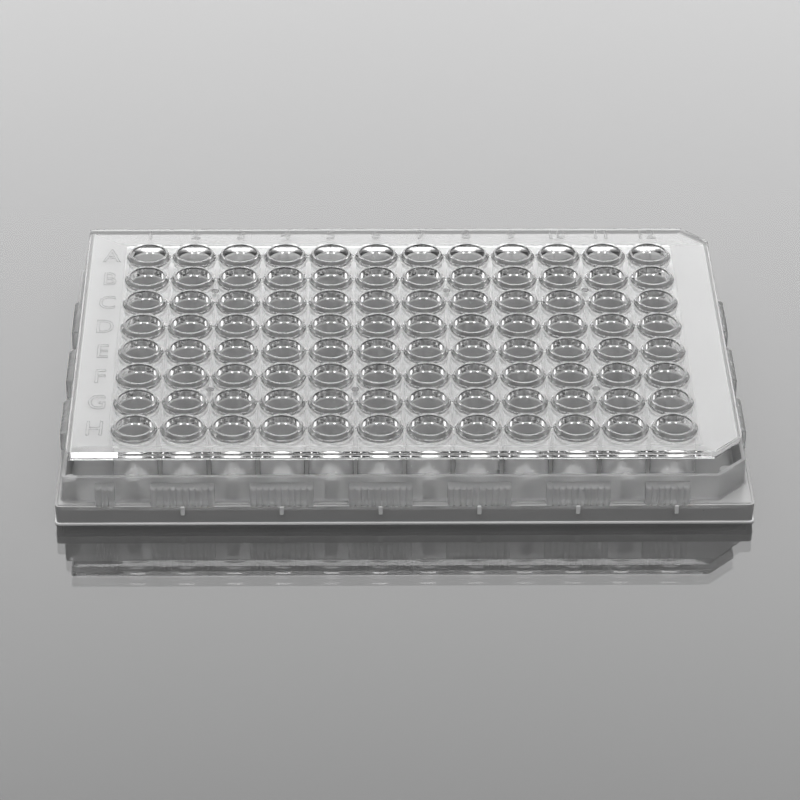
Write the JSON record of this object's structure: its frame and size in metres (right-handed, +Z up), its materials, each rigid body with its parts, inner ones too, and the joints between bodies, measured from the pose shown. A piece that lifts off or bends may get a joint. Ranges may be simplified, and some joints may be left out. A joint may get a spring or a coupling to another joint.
{
  "type": "well plate",
  "caption": "Clear laboratory well plate with raised round rims over open wells, set in a frosted skirted base with ribbed grips.",
  "frame": {"origin": "centre of the footprint, on the surface the plate stands on", "axes": "+X to the right, from column 1 to column 12; +Y to the back, from row H to row A; +Z up, the way the wells open"},
  "size_m": [0.1278, 0.086, 0.0145],
  "materials": {
    "clear_plastic": "clear, polished",
    "frosted_plastic": "fine frosted, slightly see-through"
  },
  "bodies": {
    "root": {"well_plate": "clear_plastic", "skirted_base": "frosted_plastic"}
  },
  "joints": []
}
